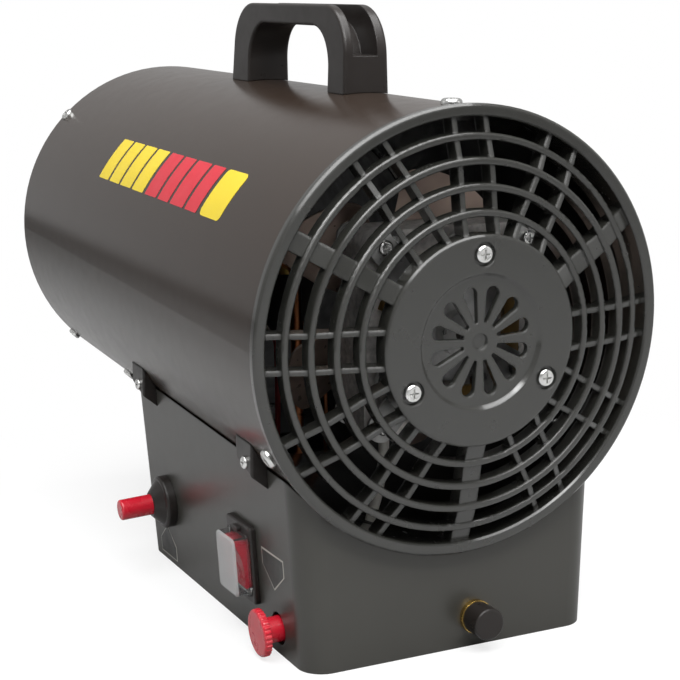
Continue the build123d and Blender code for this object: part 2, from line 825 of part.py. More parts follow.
plate_blank = base_block(base_wall + bottom_gap, plate_bottom, plate_top)
with BuildPart() as bottom_plate:
    add(plate_blank)
    with BuildSketch(Plane.XY.offset(plate_bottom - 1)):
        with Locations(*bottom_screw_places):
            Circle(bottom_screw + screw_gap)
    extrude(amount=4, mode=Mode.SUBTRACT)
save(bottom_plate.part, "bottom_plate")

floor_screw = pan_screw(3.4, 1.6, bottom_screw, 4.6)
with BuildPart() as bottom_screws:
    with Locations(*[Plane(origin=(x, y, plate_bottom), x_dir=(1, 0, 0), z_dir=(0, 0, -1))
                     for x, y in bottom_screw_places]):
        add(floor_screw)
save(bottom_screws.part, "bottom_screws")


def lug(start, side):
    """Block that stands out from the side panel and carries the casing."""
    reach = half_width + lug_reach
    root = casing_drop(half_width) - lug_root_drop
    face = casing_drop(reach) - lug_face_drop
    top = casing_drop(reach) + 4
    with BuildPart() as block:
        for distance, rise in ((start, 0), (start + lug_length, lug_rise)):
            with BuildSketch(station(distance)):
                with BuildLine():
                    Polyline((side * half_width, root + rise), (side * reach, face + rise),
                             (side * reach, top), (side * half_width, top), close=True)
                make_face()
        loft(ruled=True)
        outer = block.faces().sort_by(Axis.X)[-1 if side > 0 else 0]
        fillet(outer.edges(), lug_edge)
        add(casing_blank.part, mode=Mode.SUBTRACT)
        add(base_outside, mode=Mode.SUBTRACT)
        with Locations(lug_screw_seat(start, side)):
            Hole(lug_screw_radius, depth=lug_reach)
    return block.part


for name, place in lug_places.items():
    save(lug(*place), name)

lug_screw = pan_screw(3.0, 1.7, lug_screw_radius, lug_screw_length)
with BuildPart() as lug_screws:
    with Locations(*lug_screw_seats):
        add(lug_screw)
save(lug_screws.part, "lug_screws")

# ---------------------------------------------------------------- motor

stack_end = stack_start + stack_length
front_plate = stack_end + bracket_leg
motor_front = front_plate + bracket_sheet
screw_spots = [(x * motor_screw_x, y * motor_screw_y) for x in (-1, 1) for y in (-1, 1)]
diagonal = 2 * hypot(motor_screw_x, motor_screw_y)
diagonal_angle = degrees(atan2(motor_screw_y, motor_screw_x))
stator_bore = rotor_radius + rotor_gap

with BuildPart() as motor_stator:
    with BuildSketch(station(stack_start)):
        RectangleRounded(stack_width, stack_height, stack_corner)
        Circle(yoke_inner, mode=Mode.SUBTRACT)
        with PolarLocations((stator_bore + yoke_inner + 2) / 2, 4):
            Rectangle(yoke_inner + 2 - stator_bore, pole_width)
        Circle(stator_bore + pole_shoe)
        with PolarLocations(stator_bore + pole_shoe / 2, 4, start_angle=45):
            Rectangle(pole_shoe * 2, pole_gap, mode=Mode.SUBTRACT)
        Circle(stator_bore, mode=Mode.SUBTRACT)
        with Locations(*screw_spots):
            Circle(motor_screw + screw_gap, mode=Mode.SUBTRACT)
    extrude(amount=stack_length)
save(motor_stator.part, "motor_stator")

coil_half = stack_length / 2 + coil_reach
with BuildPart() as motor_coils:
    for angle in (0, 90, 180, 270):
        turn = radians(angle)
        outward = Vector(1, 0, 0) * cos(turn) + barrel_up * sin(turn)
        with BuildSketch(Plane(origin=at((stack_start + stack_end) / 2, 0, 0) + outward * coil_inner,
                               x_dir=outlet_way, z_dir=outward)):
            RectangleRounded(2 * coil_half, 2 * coil_half_width, 4)
            RectangleRounded(stack_length + 0.4, pole_width + 0.4, 0.5, mode=Mode.SUBTRACT)
        extrude(amount=coil_outer - coil_inner)
save(motor_coils.part, "motor_coils")


def motor_bracket(outer_face, leg_end, cup_end, toward, tabs):
    """Stamped cross with a leg at each screw and a cup for the bearing; toward is +1 or -1
    along the axis from the stack to the cup."""
    inner_face = outer_face - toward * bracket_sheet
    with BuildPart() as bracket:
        with BuildSketch(station(outer_face)):
            with Locations(Location((0, 0, 0), (0, 0, diagonal_angle)),
                           Location((0, 0, 0), (0, 0, -diagonal_angle))):
                SlotOverall(diagonal + cross_width, cross_width)
            Circle(cross_centre)
            if tabs:
                for k in range(3):
                    with PolarLocations(0, 1, start_angle=90 + 120 * k):
                        with Locations((post_circle / 2, 0)):
                            SlotOverall(post_circle + tab_width, tab_width)
        extrude(amount=-toward * bracket_sheet)
        with BuildSketch(station(inner_face)):
            with Locations(*screw_spots):
                Circle(bracket_foot)
        extrude(amount=-toward * abs(inner_face - leg_end))
        with BuildSketch(station(cup_end)):
            Circle(bearing_radius + cup_wall)
        extrude(amount=-toward * abs(cup_end - inner_face))
        with BuildSketch(station(inner_face)):
            Circle(bearing_radius)
        extrude(amount=toward * (abs(cup_end - inner_face) - cup_sheet), mode=Mode.SUBTRACT)
        with BuildSketch(station(cup_end)):
            Circle(shaft_radius + 1)
        extrude(amount=-toward * 4, mode=Mode.SUBTRACT)
        with BuildSketch(station(outer_face)):
            with Locations(*screw_spots):
                Circle(motor_screw + screw_gap)
            if tabs:
                with PolarLocations(post_circle, 3, start_angle=90):
                    Circle(casing_screw)
        extrude(amount=-toward * 12, mode=Mode.SUBTRACT)
    return bracket.part


rear_cup = motor_plate - rear_cup_depth
front_cup = motor_front + front_cup_depth
fan_station = front_cup + fan_gap + fan_hub_length / 2
save(motor_bracket(motor_plate, stack_start, rear_cup, -1, True), "motor_rear_bracket")
save(motor_bracket(motor_front, stack_end, front_cup, 1, False), "motor_front_bracket")

bearing_bore = shaft_radius + bearing_clear
bearing_outer = bearing_radius - snap_gap
bearing_setback = cup_sheet + 0.1
rear_bearing = tube(station(rear_cup + bearing_setback), bearing_outer, bearing_bore, bearing_length)
front_bearing = tube(station(front_cup - bearing_setback), bearing_outer, bearing_bore, -bearing_length)
with BuildPart() as motor_bearings:
    add(rear_bearing)
    add(front_bearing)
save(motor_bearings.part, "motor_bearings")

stator_screw = pan_screw(3.6, 2.2, motor_screw, motor_front - motor_plate + 4.5)
nut = hex_nut(Plane.XY, 3.5, motor_screw, 3.0)
with BuildPart() as motor_screws:
    with Locations(*[Plane(origin=at(motor_plate, x, y), x_dir=(1, 0, 0), z_dir=outlet_way * -1)
                     for x, y in screw_spots]):
        add(stator_screw)
    with Locations(*[Plane(origin=at(motor_front, x, y), x_dir=(1, 0, 0), z_dir=outlet_way)
                     for x, y in screw_spots]):
        add(nut)
save(motor_screws.part, "motor_screws")

shaft_start = rear_cup + bearing_setback + 0.2
shaft_end = fan_station + fan_hub_length / 2 + 5
save(rod(station(shaft_start), shaft_radius, shaft_end - shaft_start), "motor_shaft")

with BuildPart() as rotor:
    with BuildSketch(station(stack_start)):
        Circle(rotor_radius)
        Circle(shaft_radius, mode=Mode.SUBTRACT)
    extrude(amount=stack_length)
save(rotor.part, "rotor")

# ---------------------------------------------------------------- fan

hub_start = fan_station - fan_hub_length / 2
fan_plate_radius = 22.0
blade_root = 12.0
blade_root_half = 8.0
blade_tip_half = 24.0
blade_shoulder = fan_radius - 9.6
blade_tip = fan_radius - 1.2
blade_heel = fan_radius - 5.6
blade_waist = 36.0
blade_waist_half = 19.2
with BuildPart() as fan:
    with BuildSketch(station(hub_start)):
        Circle(fan_hub_radius)
    extrude(amount=fan_hub_length)
    with BuildSketch(station(fan_station - fan_sheet)):
        Circle(fan_plate_radius)
    extrude(amount=2 * fan_sheet)
    for k in range(fan_blades):
        turn = radians(fan_turn + 360 * k / fan_blades)
        radial = Vector(1, 0, 0) * cos(turn) + barrel_up * sin(turn)
        sideways = outlet_way.cross(radial)
        pitch = radians(fan_pitch)
        blade_face = outlet_way * cos(pitch) + sideways * sin(pitch)
        with BuildSketch(Plane(origin=at(fan_station, 0, 0), x_dir=radial, z_dir=blade_face)):
            with BuildLine():
                Line((blade_root, -blade_root_half), (blade_root, blade_root_half))
                Line((blade_root, blade_root_half), (blade_shoulder, blade_tip_half))
                ThreePointArc((blade_shoulder, blade_tip_half), (blade_tip, blade_tip_half / 3),
                              (blade_heel, -blade_tip_half))
                Line((blade_heel, -blade_tip_half), (blade_waist, -blade_waist_half))
                Line((blade_waist, -blade_waist_half), (blade_root, -blade_root_half))
            blade_outline = make_face()
            fillet(blade_outline.vertices().sort_by_distance((0, 0, 0))[-2:], fan_corner)
        extrude(amount=fan_sheet / 2, both=True)
    with BuildSketch(station(hub_start - 1)):
        Circle(shaft_radius)
    extrude(amount=fan_hub_length + 2, mode=Mode.SUBTRACT)
save(fan.part, "fan")

save(hex_nut(station(hub_start + fan_hub_length), 5.5, shaft_radius, 4.5), "fan_nut")

# ---------------------------------------------------------------- burner

burner_plate_sheet = 1.5
cup_start = bracket_station + burner_plate_sheet
burner_cup_sheet = 1.0
burner_cup_flare = 3.0
burner_cup_corner = 4.0
jet_start = tube_start + 1.0
jet_radius = 5.0
strip_width = 22.0
strip_gap = 3.0            # between the strip and the tube
end_tab_length = 16.0
end_tab_sheet = 1.5
end_bridge_width = 14.0
tube_clear = tube_radius - tube_wall - seat_gap

with BuildPart() as burner_bracket:
    with BuildSketch(station(bracket_station)):
        Rectangle(2 * (tube_clear - strip_gap), strip_width)
        with Locations((0, -electrode_drop / 2)):
            Rectangle(2 * electrode_x + 12, electrode_drop + 12)
        Circle(jet_radius + seat_gap, mode=Mode.SUBTRACT)
        with Locations((electrode_x, -electrode_drop), (-electrode_x, -electrode_drop)):
            Circle(electrode_sleeve + seat_gap, mode=Mode.SUBTRACT)
    extrude(amount=burner_plate_sheet)
    # end tabs that lie along the tube wall
    with BuildSketch(station(bracket_station)):
        with Locations((tube_clear - strip_gap - 0.6, 0), (strip_gap + 0.6 - tube_clear, 0)):
            Rectangle(end_tab_sheet, strip_width)
    extrude(amount=end_tab_length)
    with BuildSketch(station(bracket_station)):
        with Locations((tube_clear - strip_gap / 2 - 0.1, 0), (strip_gap / 2 + 0.1 - tube_clear, 0)):
            Rectangle(strip_gap + 0.2, end_bridge_width)
    extrude(amount=burner_plate_sheet)
    with BuildSketch(station(bracket_station)):
        Circle(tube_clear)
    extrude(amount=30, mode=Mode.INTERSECT)
save(burner_bracket.part, "burner_bracket")

cup_hole = jet_radius + 2.0
cup_floor = cup_start + burner_cup_sheet
cup_end = cup_start + burner_cup_depth
cup_mouth = burner_cup_radius + burner_cup_flare
with BuildPart() as burner_cup:
    with BuildSketch(ALONG):
        with BuildLine():
            Polyline((cup_start, cup_hole), (cup_start, burner_cup_radius - burner_cup_corner),
                     (cup_start + 5, burner_cup_radius), (cup_end, cup_mouth),
                     (cup_end, cup_mouth - burner_cup_sheet),
                     (cup_start + 5, burner_cup_radius - burner_cup_sheet),
                     (cup_floor, burner_cup_radius - burner_cup_corner - burner_cup_sheet),
                     (cup_floor, cup_hole), close=True)
        make_face()
    revolve(axis=barrel_axis)
    with BuildSketch(station(cup_start)):
        with PolarLocations(17, 8):
            Circle(3.5)
    extrude(amount=burner_cup_sheet, mode=Mode.SUBTRACT)
save(burner_cup.part, "burner_cup")

with BuildPart() as flame_plate:
    with BuildSketch(station(flame_plate_station)):
        Circle(flame_plate_radius)
        with PolarLocations(30, 18):
            Circle(2.0, mode=Mode.SUBTRACT)
        with PolarLocations(19, 12):
            Circle(2.0, mode=Mode.SUBTRACT)
        with PolarLocations(9, 6):
            Circle(2.0, mode=Mode.SUBTRACT)
    extrude(amount=1.2)
    with BuildSketch(station(cup_floor)):
        with PolarLocations(23.5, 3, start_angle=30):
            Circle(1.5)
    extrude(amount=flame_plate_station - cup_floor + 0.5)
save(flame_plate.part, "flame_plate")

with BuildPart() as gas_jet:
    with BuildSketch(station(jet_start)):
        RegularPolygon(6.0, 6, major_radius=False)
    extrude(amount=bracket_station - jet_start)
    with BuildSketch(station(bracket_station)):
        Circle(jet_radius)
    extrude(amount=10)
    with BuildSketch(station(bracket_station + 14)):
        Circle(0.8)
    extrude(amount=-6, mode=Mode.SUBTRACT)
save(gas_jet.part, "gas_jet")

electrode_start = bracket_station - 12
with BuildPart() as electrode_insulator:
    with BuildSketch(station(electrode_start)):
        with Locations((electrode_x, -electrode_drop)):
            Circle(electrode_sleeve)
            Circle(electrode_radius, mode=Mode.SUBTRACT)
    extrude(amount=34)
    with BuildSketch(station(bracket_station)):
        with Locations((electrode_x, -electrode_drop)):
            Circle(electrode_sleeve + 1.4)
            Circle(electrode_radius, mode=Mode.SUBTRACT)
    extrude(amount=-4)
save(electrode_insulator.part, "electrode_insulator")

electrode_tip = flame_plate_station - 6
with BuildPart() as electrode_rod:
    with BuildLine() as electrode_route:
        FilletPolyline(at(electrode_start - 3, electrode_x, -electrode_drop),
                       at(electrode_tip - 8, electrode_x, -electrode_drop),
                       at(electrode_tip, electrode_x, -electrode_drop + 9), radius=5)
    with BuildSketch(Plane(origin=electrode_route.line @ 0, z_dir=electrode_route.line % 0)):
        Circle(electrode_radius)
    sweep()
save(electrode_rod.part, "electrode_rod")

thermostat_radius = 8.0
thermostat_height = 5.5
thermostat_ear = 1.0
thermostat_seat = on_barrel(300, 60, tube_radius + 0.6)
with BuildPart() as overheat_thermostat:
    with BuildSketch(thermostat_seat):
        RectangleRounded(24, 10, 2)
    extrude(amount=thermostat_ear)
    with BuildSketch(thermostat_seat.offset(thermostat_ear)):
        Circle(thermostat_radius)
    extrude(amount=thermostat_height)
    with BuildSketch(thermostat_seat.offset(thermostat_ear + thermostat_height)):
        with Locations((-thermostat_radius / 2, 0), (thermostat_radius / 2, 0)):
            Rectangle(0.8, 6)
    extrude(amount=6)
save(overheat_thermostat.part, "overheat_thermostat")

# ---------------------------------------------------------------- igniter

igniter_cavity = igniter_button_radius + 1.9
igniter_body_radius = igniter_cavity + igniter_body_wall
igniter_shoulder = 8.0     # behind the panel's face
igniter_flange = 3.0
igniter_end_wall = 5.0
collar_face = 0.8
button_bore = igniter_button_radius + running_gap

with BuildPart() as igniter_body:
    with BuildSketch(IGNITER.offset(-base_wall)):
        Circle(igniter_back_radius)
    extrude(amount=-igniter_back_sheet)
    with BuildSketch(IGNITER.offset(-base_wall)):
        Circle(igniter_thread_radius)
    extrude(amount=base_wall + igniter_collar_proud - collar_face)
    with BuildSketch(IGNITER.offset(-base_wall - igniter_back_sheet)):
        Circle(igniter_body_radius)
    extrude(amount=base_wall + igniter_back_sheet - igniter_body_depth)
    with BuildSketch(IGNITER.offset(igniter_collar_proud)):
        Circle(button_bore)
    extrude(amount=-igniter_collar_proud - igniter_shoulder, mode=Mode.SUBTRACT)
    with BuildSketch(IGNITER.offset(-igniter_shoulder)):
        Circle(igniter_cavity)
    extrude(amount=igniter_shoulder + igniter_end_wall - igniter_body_depth, mode=Mode.SUBTRACT)
    # boot that takes the ignition lead
    with BuildSketch(IGNITER.offset(-igniter_body_depth)):
        Circle(igniter_boot_radius)
    extrude(amount=-igniter_boot_length)
save(igniter_body.part, "igniter_body")

with BuildPart() as igniter_collar:
    with BuildSketch(IGNITER):
        Circle(igniter_collar_radius)
    extrude(amount=igniter_collar_proud)
    fillet(igniter_collar.faces().sort_by(Axis.X)[-1].edges(), 1.6)
    with BuildSketch(IGNITER.offset(igniter_collar_proud)):
        Circle(igniter_collar_radius - igniter_cone_ledge)
    with BuildSketch(IGNITER.offset(igniter_cone_proud)):
        Circle(igniter_cone_tip)
    loft()
    with BuildSketch(IGNITER):
        Circle(igniter_thread_radius)
    extrude(amount=igniter_collar_proud - collar_face, mode=Mode.SUBTRACT)
    with BuildSketch(IGNITER):
        Circle(button_bore)
    extrude(amount=igniter_cone_proud, mode=Mode.SUBTRACT)
save(igniter_collar.part, "igniter_collar")

with BuildPart() as igniter_button:
    with BuildSketch(IGNITER.offset(-igniter_shoulder - igniter_flange)):
        Circle(igniter_cavity - running_gap)
    extrude(amount=igniter_flange - 0.1)
    with BuildSketch(IGNITER.offset(-igniter_shoulder - igniter_flange)):
        Circle(igniter_button_radius)
    extrude(amount=igniter_shoulder + igniter_flange + igniter_button_proud)
    fillet(igniter_button.faces().sort_by(Axis.X)[-1].edges(), 1.2)
save(igniter_button.part, "igniter_button")

igniter_spring_length = igniter_body_depth - igniter_end_wall - igniter_shoulder - igniter_flange - 0.4
save(coil_spring(IGNITER.offset(igniter_end_wall - igniter_body_depth + 0.2),
                 igniter_button_radius - igniter_spring_wire, igniter_spring_wire,
                 igniter_spring_length, 7), "igniter_spring")

# ---------------------------------------------------------------- switch

ROCKER = Plane(origin=SWITCH.origin, x_dir=SWITCH.z_dir, z_dir=(0, -1, 0))
well_half_width = rocker_half_width + 0.4
well_half_height = rocker_half_height + 1.3
well_depth = 14.0

with BuildPart() as switch_body:
    with BuildSketch(SWITCH):
        RectangleRounded(switch_frame_width, switch_frame_height, 2.5)
    extrude(amount=switch_frame_proud)
    fillet(switch_body.faces().sort_by(Axis.X)[-1].edges(), 1.0)
    with BuildSketch(SWITCH):
        Rectangle(switch_body_width, switch_body_height)
    extrude(amount=-switch_body_depth)
    with BuildSketch(SWITCH.offset(switch_frame_proud)):
        Rectangle(2 * well_half_width, 2 * well_half_height)
    extrude(amount=-switch_frame_proud - well_depth, mode=Mode.SUBTRACT)
    with BuildSketch(ROCKER):
        Circle(rocker_pin + running_gap)
    extrude(amount=well_half_width + 1.8, both=True, mode=Mode.SUBTRACT)
    # latch bump above the cover
    with BuildSketch(SWITCH.offset(switch_frame_proud)):
        with Locations((0, cover_height / 2 + 2.4 - cover_drop)):
            RectangleRounded(7, 2.4, 0.8)
    extrude(amount=1.6)
save(switch_body.part, "switch_body")

with BuildPart() as rocker:
    with BuildSketch(ROCKER):
        with BuildLine():
            Line((-4, rocker_half_height - 1.4), (-4, 1.4 - rocker_half_height))
            Line((-4, 1.4 - rocker_half_height), (rocker_proud, -rocker_half_height))
            ThreePointArc((rocker_proud, -rocker_half_height), (rocker_proud - rocker_dip, 0),
                          (rocker_proud, rocker_half_height))
            Line((rocker_proud, rocker_half_height), (-4, rocker_half_height - 1.4))
        make_face()
    extrude(amount=rocker_half_width, both=True)
    fillet(rocker.edges().filter_by(Axis.Y).sort_by(Axis.X)[-2:], 0.8)
    with BuildSketch(ROCKER):
        Circle(rocker_pin)
    extrude(amount=well_half_width + 1.6, both=True)
rocker_pivot = Axis(SWITCH.origin, (0, 1, 0))
save(rocker.part.rotate(rocker_pivot, rocker_rest), "rocker")

COVER = SWITCH.offset(switch_frame_proud)
with BuildPart() as switch_cover:
    with BuildSketch(COVER):
        with Locations((0, -cover_drop)):
            RectangleRounded(cover_width, cover_height, 2.6)
    extrude(amount=cover_front - switch_frame_proud)
    fillet(switch_cover.faces().sort_by(Axis.X)[-1].edges(), 1.2)
    with BuildSketch(COVER):
        with Locations((0, -cover_drop)):
            RectangleRounded(cover_width + 2 * cover_flange, cover_height + 2 * cover_flange, 2.6)
    extrude(amount=cover_flange_sheet)
    with BuildSketch(COVER):
        with Locations((0, -cover_drop)):
            RectangleRounded(cover_width - 2 * cover_wall, cover_height - 2 * cover_wall,
                             cover_inner_corner)
    extrude(amount=cover_front - switch_frame_proud - cover_wall, mode=Mode.SUBTRACT)
save(switch_cover.part, "switch_cover")

with BuildPart() as switch_terminals:
    with BuildSketch(SWITCH.offset(-switch_body_depth)):
        with GridLocations(14, 14, 2, 2):
            Rectangle(0.8, 6.3)
    extrude(amount=-9)
save(switch_terminals.part, "switch_terminals")

# ---------------------------------------------------------------- gas valve

stem_bore = valve_stem_radius + running_gap
stem_depth = 12.0
bore_depth = 20.0
port_radius = 5.0
port_height = 4.0
outlet_port_depth = 26.0
valve_up = VALVE.y_dir
valve_port = Plane(origin=VALVE.from_local_coords((0, valve_body_high, -outlet_port_depth)),
                   x_dir=(0, 1, 0), z_dir=valve_up)
valve_back = VALVE.offset(-valve_body_depth)
valve_bracket_sheet = 1.5
valve_bracket_rise = 6.0   # above the stem's axis
valve_bracket_foot = 14.0

# the inlet pipe leaves the valve square to its back and comes level with the inlet
inlet_run = (valve_back.origin.X - inlet_x) / cos(flare)
inlet_pipe_offset = (inlet_z - valve_back.origin.Z - inlet_run * sin(flare)) / cos(flare)

with BuildPart() as valve_body:
    with BuildSketch(VALVE.offset(-5)):
        with Locations((0, (valve_body_high - valve_body_low) / 2)):
            RectangleRounded(valve_body_width, valve_body_high + valve_body_low, 2)
    extrude(amount=5 - valve_body_depth)
    with BuildSketch(VALVE.offset(-valve_collar_setback)):
        Circle(valve_collar_radius)
    extrude(amount=valve_collar_setback - 6)
    with BuildSketch(valve_port):
        Circle(port_radius)
    extrude(amount=port_height)
    with BuildSketch(VALVE):
        Circle(stem_bore)
    extrude(amount=-bore_depth, mode=Mode.SUBTRACT)
save(valve_body.part, "valve_body")

with BuildPart() as valve_bracket:
    with BuildSketch(valve_back):
        with Locations((0, valve_bracket_rise)):
            Rectangle(valve_body_width, 3 * valve_bracket_rise, align=(Align.CENTER, Align.MAX))
    extrude(amount=-valve_bracket_sheet)
    with BuildSketch(Plane.XY.offset(plate_top)):
        with Locations((valve_back.origin.X - valve_bracket_foot / 2 - valve_bracket_sheet, valve_y)):
            Rectangle(valve_bracket_foot, valve_body_width)
    extrude(amount=valve_bracket_sheet)
    with BuildSketch(Plane.XY.offset(plate_top)):
        with Locations((valve_back.origin.X, valve_y)):
            Rectangle(4 * valve_bracket_foot, 2 * valve_body_width)
    extrude(amount=rim_height, mode=Mode.INTERSECT)
    with BuildSketch(valve_back):
        with Locations((0, inlet_pipe_offset)):
            Circle(pipe_radius + 1)
    extrude(amount=-2 * valve_bracket_sheet, mode=Mode.SUBTRACT)
save(valve_bracket.part, "valve_bracket")

with BuildPart() as valve_button:
    with BuildSketch(VALVE.offset(-stem_depth)):
        Circle(valve_stem_radius)
    extrude(amount=stem_depth + valve_cap_standoff)
    with BuildSketch(VALVE.offset(valve_cap_standoff)):
        Circle(valve_cap_radius)
    extrude(amount=valve_cap_sheet)
    fillet(valve_button.faces().sort_by(Axis.X)[-1].edges(), 1.4)
    with BuildSketch(VALVE.offset(valve_cap_standoff)):
        with PolarLocations(valve_cap_radius + knurl_offset, knurl_count):
            Circle(knurl_radius)
    extrude(amount=valve_cap_sheet, mode=Mode.SUBTRACT)
save(valve_button.part, "valve_button")

save(coil_spring(VALVE.offset(-bore_depth + 0.1), valve_stem_radius - 3 * valve_spring_wire,
                 valve_spring_wire, bore_depth - stem_depth - 0.2, 4), "valve_spring")

# ---------------------------------------------------------------- gas inlet and pipes

inlet_inner = 14.0
cap_bore = inlet_spigot_radius + running_gap

with BuildPart() as gas_inlet_fitting:
    with BuildSketch(INLET):
        Circle(inlet_spigot_radius + inlet_flange_reach)
    extrude(amount=inlet_flange)
    with BuildSketch(INLET.offset(-inlet_inner)):
        Circle(inlet_spigot_radius)
    extrude(amount=inlet_inner + inlet_flange + inlet_spigot_length)
    chamfer(gas_inlet_fitting.faces().sort_by(Axis.Y)[-1].edges(), 0.6)
    with BuildSketch(INLET.offset(-inlet_inner)):
        Circle(gas_bore)
    extrude(amount=inlet_inner + inlet_flange + inlet_spigot_length, mode=Mode.SUBTRACT)
save(gas_inlet_fitting.part, "gas_inlet_fitting")

save(hex_nut(INLET.offset(-base_wall), inlet_spigot_radius + 2.5, inlet_spigot_radius, -5.0), "inlet_nut")

with BuildPart() as inlet_cap:
    with BuildSketch(INLET.offset(inlet_flange)):
        Circle(cap_bore + inlet_cap_wall)
    extrude(amount=inlet_cap_length)
    fillet(inlet_cap.faces().sort_by(Axis.Y)[-1].edges(), 1.2)
    with BuildSketch(INLET.offset(inlet_flange)):
        Circle(cap_bore)
    extrude(amount=inlet_spigot_length + 0.2, mode=Mode.SUBTRACT)
save(inlet_cap.part, "inlet_cap")

inlet_pipe_end = valve_back.from_local_coords((0, inlet_pipe_offset, 0))
inlet_pipe_corner = inlet_pipe_end - VALVE.z_dir * ((inlet_pipe_end.X - inlet_x) / cos(flare))
inlet_pipe_points = [(inlet_x, half_length - inlet_inner, inlet_z), inlet_pipe_corner, inlet_pipe_end]
save(bent_tube(inlet_pipe_points, [pipe_bend], pipe_radius), "inlet_pipe")

# the burner pipe crosses to the middle of the base and climbs through the belly opening
port_end = valve_port.origin + valve_up * port_height
pipe_corner = port_end + valve_up * 16
pipe_level = pipe_corner.Z
pipe_clear_x = 16.0
belly_station = sum(pipe_opening) / 2
climb_y = at(belly_station, 0, -casing_radius).Y
climb_station = (rim_centre.Y - climb_y) / cos(tilt)
axis_height = rim_height + climb_station * sin(tilt)
burner_pipe_points = [
    port_end,
    pipe_corner,
    (pipe_clear_x, valve_y - 28, pipe_level),
    (pipe_clear_x, climb_y + 34, pipe_level),
    (0, climb_y, pipe_level),
    (0, climb_y, axis_height),
    at(jet_start, 0, 0),
]
burner_pipe_radii = [min(pipe_bend, radius) for radius in bend_radii(burner_pipe_points)]
save(bent_tube(burner_pipe_points, burner_pipe_radii, pipe_radius), "burner_pipe")

# ---------------------------------------------------------------- leads

lead_radius = 1.5
cable_radius = 2.4
cable_bend = 12.0
ignition_lead_points = [
    IGNITER.from_local_coords((0, 0, -igniter_body_depth - igniter_boot_length)),
    IGNITER.from_local_coords((0, 0, -igniter_body_depth - igniter_boot_length - 12)),
    at(belly_station - 2, electrode_x + 1, -casing_radius - 6),
    at(belly_station - 4, electrode_x + 1, -casing_radius + 28),
    at(electrode_start - 12, electrode_x, -electrode_drop),
    at(electrode_start - 3, electrode_x, -electrode_drop),
]
ignition_radii = bend_radii(ignition_lead_points)
save(bent_tube(ignition_lead_points, ignition_radii, lead_radius), "ignition_lead")

probe_start = bracket_station - 10
probe_x = -electrode_x
probe_lead_radius = 1.1
probe_length = 44.0
probe_lead_start = valve_back.from_local_coords((-valve_body_width / 2, 4, 3))
thermocouple_points = [
    probe_lead_start,
    probe_lead_start - Vector(0, 12, 0),
    Vector(24, switch_y - 18, 20),
    Vector(probe_x - 1, climb_y + 22, 24),
    at(belly_station - 4, probe_x - 1, -casing_radius - 10),
    at(belly_station - 6, probe_x - 1, -casing_radius + 26),
    at(probe_start - 14, probe_x, -electrode_drop),
    at(probe_start + 2, probe_x, -electrode_drop),
]
thermocouple_radii = bend_radii(thermocouple_points)
thermocouple_lead = bent_tube(thermocouple_points, thermocouple_radii, probe_lead_radius)
with BuildPart() as thermocouple:
    add(thermocouple_lead)
    with BuildSketch(station(probe_start)):
        with Locations((probe_x, -electrode_drop)):
            Circle(probe_radius)
    extrude(amount=probe_length)
save(thermocouple.part, "thermocouple")

grommet_seat = on_barrel(grommet_station, grommet_angle, casing_radius)
terminal_spread = 7.0
terminal_length = 9.0
live_end, return_end = [SWITCH.from_local_coords((y, -terminal_spread, -switch_body_depth - terminal_length))
                        for y in (terminal_spread, -terminal_spread)]
motor_lead_x = grommet_across - 4
motor_lead_points = [
    live_end,
    live_end - SWITCH.z_dir * 11,
    Vector(motor_lead_x, switch_y + 24, switch_z - 3),
    grommet_seat.origin + grommet_seat.z_dir * 13,
    grommet_seat.origin - grommet_seat.z_dir * 15,
    at(stack_start + 12, motor_lead_x, -stack_height / 2 - 14),
    at(stack_start + 12, motor_lead_x, -stack_height / 2),
]
motor_radii = [min(cable_bend, radius) for radius in bend_radii(motor_lead_points)]
save(bent_tube(motor_lead_points, motor_radii, cable_radius), "motor_lead")

with BuildPart() as wire_grommet:
    with BuildSketch(grommet_seat.offset(0.2)):
        Circle(grommet_neck + grommet_flange)
    extrude(amount=grommet_sheet)
    with BuildSketch(grommet_seat.offset(-casing_wall - 0.6)):
        Circle(grommet_neck + grommet_flange)
    extrude(amount=-grommet_sheet)
    with BuildSketch(grommet_seat.offset(1.8)):
        Circle(grommet_neck)
    extrude(amount=-casing_wall - 4)
    with BuildSketch(grommet_seat.offset(3)):
        Circle(grommet_bore)
    extrude(amount=-10, mode=Mode.SUBTRACT)
save(wire_grommet.part, "wire_grommet")

block_x = -34.0
block_y = switch_y - 12
block_width = 20.0
block_length = 36.0
block_height = 15.0
with BuildPart() as terminal_block:
    with BuildSketch(Plane.XY.offset(plate_top)):
        with Locations((block_x, block_y)):
            RectangleRounded(block_width, block_length, 1.5)
    extrude(amount=block_height)
    with BuildSketch(Plane.XY.offset(plate_top + block_height)):
        with Locations((block_x, block_y)):
            with GridLocations(10, 11, 2, 3):
                Circle(2.2)
    extrude(amount=-6, mode=Mode.SUBTRACT)
save(terminal_block.part, "terminal_block")

supply_lead_points = [
    Vector(block_x + block_width / 2, block_y - 8, plate_top + block_height / 2),
    Vector(block_x + block_width / 2 + 18, block_y - 8, plate_top + block_height / 2),
    return_end - SWITCH.z_dir * 14,
    return_end,
]
supply_radii = bend_radii(supply_lead_points)
save(bent_tube(supply_lead_points, supply_radii, cable_radius), "supply_lead")

with BuildPart() as cable_bushing:
    with BuildSketch(BUSHING):
        Circle(bushing_neck + bushing_flange)
    extrude(amount=bushing_proud)
    fillet(cable_bushing.faces().sort_by(Axis.X)[0].edges(), 1.0)
    with BuildSketch(BUSHING):
        Circle(bushing_neck)
    extrude(amount=-8)
    with BuildSketch(BUSHING.offset(-base_wall)):
        Circle(bushing_neck + 1.4)
    extrude(amount=-3)
    with BuildSketch(BUSHING.offset(4)):
        Circle(bushing_bore)
    extrude(amount=-14, mode=Mode.SUBTRACT)
save(cable_bushing.part, "cable_bushing")
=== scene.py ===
import json
from math import cos, pi, radians, sin

import bmesh
import bpy
from mathutils import Matrix, Vector


